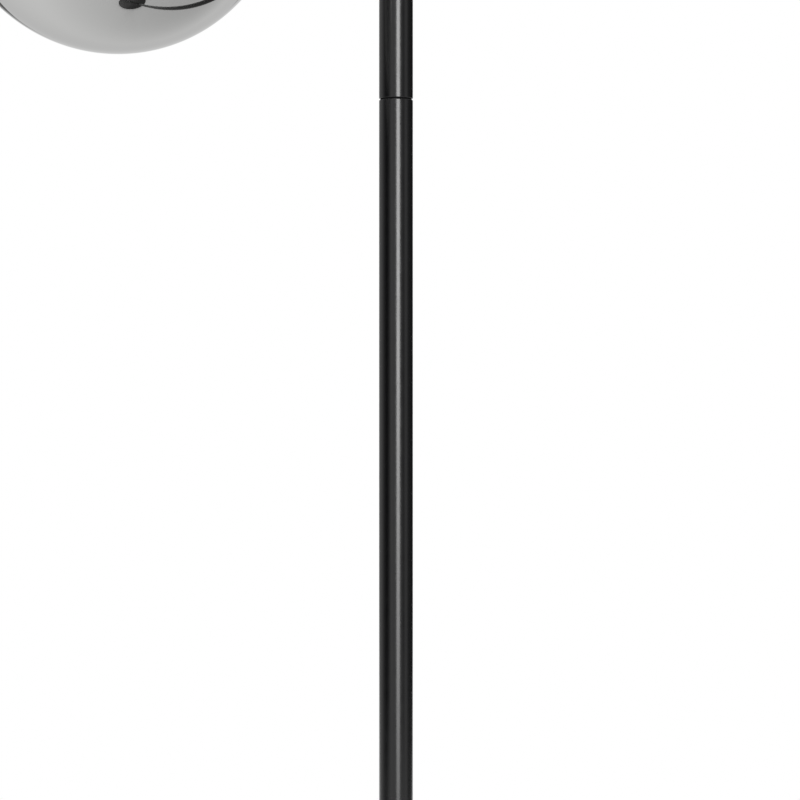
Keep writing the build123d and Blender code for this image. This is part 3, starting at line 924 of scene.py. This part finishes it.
def rod_between(bm, start, end, radius, sides=16, edge=0.0):
    """Adds a round rod between two points, with its rims eased."""
    run = Vector(end) - Vector(start)
    turn = run.to_track_quat("Z", "Y").to_matrix().to_4x4()
    made = bmesh.ops.create_cone(
        bm,
        cap_ends=True,
        segments=sides,
        radius1=radius,
        radius2=radius,
        depth=run.length,
        matrix=Matrix.Translation((Vector(start) + Vector(end)) / 2) @ turn,
    )["verts"]
    if edge:
        edges = {e for v in made for e in v.link_edges}
        rims = [e for e in edges if any(len(face.verts) > 4 for face in e.link_faces)]
        bmesh.ops.bevel(bm, geom=rims, offset=edge, segments=3, profile=0.5, affect="EDGES", material=-1)


rods_start, rods_end, _ = span("lamp_rods")
foot = GLASS_NECK - GLASS_WALL - GLASS_FIT
stem = turned(
    [
        (0, rods_start),
        (foot, rods_start),
        (foot, rods_start + STEM_FOOT),
        (STEM_RADIUS, rods_start + 3 * STEM_FOOT),
        (STEM_RADIUS, rods_start + STEM_HEIGHT),
        (0, rods_start + STEM_HEIGHT),
    ],
    [(2, 0.0004), (3, 0.0015), (4, 0.0014)],
    steps=48,
)
on_lights("lamp_stem", stem, bulb_glass, "bulb", "lamp_rods")

wires, rods = bmesh.new(), bmesh.new()
filament_start = rods_end - FILAMENT_LENGTH
mast_foot = rods_start + STEM_HEIGHT - MAST_SEALED_IN
rod_between(wires, (0, 0, mast_foot), (0, 0, rods_end - TAB_LENGTH), WIRE_RADIUS)
for i in range(4):
    turn = Matrix.Rotation(i * math.pi / 2, 3, "Z")
    bottom, top = turn @ Vector((ROD_RING, 0, filament_start)), turn @ Vector((ROD_RING, 0, rods_end))
    inset = Vector((0, 0, TAB_LENGTH))
    rod_between(rods, bottom + inset, top - inset, FILAMENT_RADIUS, sides=20, edge=0.0004)
    rod_between(wires, bottom, bottom + 2 * inset, TAB_RADIUS)
    rod_between(wires, top - 2 * inset, top, TAB_RADIUS)
    for point in (bottom, top):
        level = min(max(point.z, filament_start + TAB_LENGTH / 2), rods_end - TAB_LENGTH / 2)
        rod_between(wires, (0, 0, level), (point.x, point.y, level), WIRE_RADIUS)
on_lights("lamp_wires", wires, nickel, "bulb", "lamp_rods", crease=45)
on_lights("lamp_filaments", rods, phosphor, "bulb", "lamp_rods", crease=45)

# ---- Thread rings and seals ---------------------------------------------------------------------
# A ring turned from aluminium and anodised black is pressed into each cup's mouth, with the coarse
# thread for the globe's neck. A flat silicone seal on its face cushions the globe's shoulder.
NECK_RADIUS = 0.025
NECK_PITCH = 0.004
RIDGE_HEIGHT = 0.001
RIDGE_FOOT, RIDGE_CREST = 0.001, 0.0004
NECK_CLEARANCE = 0.00035
SEAL_EDGE = 0.0004
SEAL_GAP = 0.0004
NECK_FLARE = 0.0015

# Black anodising on turned aluminium: dark grey-black, with a silky sheen and fine tool lines.
anodised, tree, shader, place = surface(
    "black_anodised_aluminium", {"Base Color": linear("#2A2A2D"), "Metallic": 0.6, "Roughness": 0.4}
)
shaded(tree, shader, grain(tree, place, 0.004), "#242427", "#323236")
roughened(tree, shader, grain(tree, place, 0.0008), 0.34, 0.5)

# Silicone rubber, moulded: milky grey, dull, slightly see-through at its edges.
silicone, tree, shader, place = surface(
    "moulded_silicone",
    {"Base Color": linear("#C4C4C0"), "Roughness": 0.55, "Subsurface Weight": 0.2, "Subsurface Scale": 0.002},
)
shaded(tree, shader, grain(tree, place, 0.002), "#B9B9B5", "#CDCDC9")
bumped(tree, shader, grain(tree, place, 0.001), 0.00002)

ring_start, ring_end, ring_radius = span("thread_ring")
land, groove = NECK_RADIUS + NECK_CLEARANCE, NECK_RADIUS + RIDGE_HEIGHT + NECK_CLEARANCE
flat, slant = RIDGE_CREST + NECK_CLEARANCE, RIDGE_FOOT + NECK_CLEARANCE
half = NECK_PITCH / 2
ring = threaded(
    [
        (land, 0),
        (land, half - slant),
        (groove, half - flat),
        (groove, half + flat),
        (land, half + slant),
        (land, 2 * half),
    ],
    NECK_PITCH,
    ring_start,
    ring_end,
    [(ring_radius, ring_end), (ring_radius, ring_start)],
    sides=128,
)
on_lights("thread_ring_turned", ring, anodised, "stand", "thread_ring")

seal_start, seal_end, seal_radius = span("globe_seal")
seal_inside = NECK_RADIUS + NECK_FLARE + SEAL_GAP
seal = turned(
    [(seal_radius, seal_start), (seal_radius, seal_end), (seal_inside, seal_end), (seal_inside, seal_start)],
    [(i, SEAL_EDGE) for i in range(4)],
    steps=160,
)
on_lights("seal_moulded", seal, silicone, "seal", "globe_seal")

# ---- Globes -------------------------------------------------------------------------------------
# Blown smoke glass, 2 mm thick, with a vacuum-coated mirror finish. The ball flares into a short neck
# with a fire-polished lip, and a ridge of glass on the neck is the thread that screws into the cup.
GLOBE_WALL = 0.002
GLOBE_SIDES = 192
ARC_STEPS = 96
LIP_EDGE = 0.0007
OUTSIDE_FLARE = 0.6 * NECK_FLARE
RIDGE_TURNS = 1.6
RIDGE_RUN_OUT = math.radians(35)
RIDGE_SINK = 0.0004
RIDGE_CLEAR_OF_LIP = 0.0022

# Smoke glass under a film of metal laid on in vacuum: a sharp grey mirror that gives back about half
# the light, and hardly brightens towards its rim.
mirror_glass, tree, shader, place = surface(
    "mirrored_smoke_glass",
    {
        "Base Color": linear("#BEBEBD"),
        "Metallic": 1.0,
        "Roughness": 0.02,
        "Specular Tint": linear("#DCDCDC"),
    },
)

neck_end, globe_end, globe_radius = span("globe")
globe_centre = globe_end - globe_radius


def arc(bm, radius, neck):
    """Adds a ball's half outline from its far pole to where its neck starts."""
    vert = bm.verts.new((0, 0, globe_centre + radius))
    bmesh.ops.spin(
        bm,
        geom=[vert],
        cent=(0, 0, globe_centre),
        axis=(0, 1, 0),
        dvec=(0, 0, 0),
        angle=math.pi - math.asin(neck / radius),
        steps=ARC_STEPS,
        use_merge=False,
    )


globe = bmesh.new()
inner_radius, inner_neck = globe_radius - GLOBE_WALL, NECK_RADIUS - GLOBE_WALL
roots = []
for radius, neck in ((globe_radius, NECK_RADIUS), (inner_radius, inner_neck)):
    arc(globe, radius, neck)
    globe.verts.ensure_lookup_table()
    roots.append(globe.verts[-1])
lips = [globe.verts.new((neck, 0, neck_end)) for neck in (NECK_RADIUS, inner_neck)]
globe.edges.new((roots[0], lips[0]))
globe.edges.new((lips[0], lips[1]))
globe.edges.new((lips[1], roots[1]))
for vert, size in zip(roots + lips, (OUTSIDE_FLARE, NECK_FLARE, LIP_EDGE, LIP_EDGE)):
    bmesh.ops.bevel(
        globe, geom=[vert], offset=size, segments=6, profile=0.5, affect="VERTICES", material=-1
    )
bmesh.ops.spin(
    globe,
    geom=globe.verts[:] + globe.edges[:],
    cent=(0, 0, 0),
    axis=(0, 0, 1),
    dvec=(0, 0, 0),
    angle=2 * math.pi,
    steps=GLOBE_SIDES,
    use_merge=True,
)
bmesh.ops.remove_doubles(globe, verts=globe.verts, dist=1e-6)

ridge = bmesh.new()
grooves_below = math.ceil((neck_end + RIDGE_CLEAR_OF_LIP - ring_start) / NECK_PITCH)
ridge_start = ring_start - NECK_PITCH + half + NECK_PITCH * grooves_below
corners = [
    ridge.verts.new((radius, 0, ridge_start + rise))
    for radius, rise in (
        (NECK_RADIUS - RIDGE_SINK, -RIDGE_FOOT),
        (NECK_RADIUS + RIDGE_HEIGHT, -RIDGE_CREST),
        (NECK_RADIUS + RIDGE_HEIGHT, RIDGE_CREST),
        (NECK_RADIUS - RIDGE_SINK, RIDGE_FOOT),
    )
]
loop = [ridge.edges.new(pair) for pair in zip(corners, corners[1:] + corners[:1])]
ridge_steps = round(RIDGE_TURNS * GLOBE_SIDES)
bmesh.ops.spin(
    ridge,
    geom=corners + loop,
    cent=(0, 0, 0),
    axis=(0, 0, 1),
    dvec=(0, 0, NECK_PITCH / GLOBE_SIDES),
    angle=2 * math.pi * RIDGE_TURNS,
    steps=ridge_steps,
    use_merge=False,
)
length = 2 * math.pi * RIDGE_TURNS
for place_in_row, vert in enumerate(ridge.verts):
    wound = length * (place_in_row // len(corners)) / ridge_steps
    share = min(1.0, wound / RIDGE_RUN_OUT, (length - wound) / RIDGE_RUN_OUT)
    radius = vert.co.xy.length
    wanted = NECK_RADIUS - RIDGE_SINK + (radius - NECK_RADIUS + RIDGE_SINK) * share
    vert.co.x *= wanted / radius
    vert.co.y *= wanted / radius
bmesh.ops.holes_fill(ridge, edges=[e for e in ridge.edges if e.is_boundary], sides=4)
ridge_mesh = bpy.data.meshes.new("ridge")
ridge.to_mesh(ridge_mesh)
ridge.free()
globe.from_mesh(ridge_mesh)
bpy.data.meshes.remove(ridge_mesh)
bmesh.ops.recalc_face_normals(globe, faces=globe.faces)
on_lights("glass_globe", globe, mirror_glass, "globe", "globe")
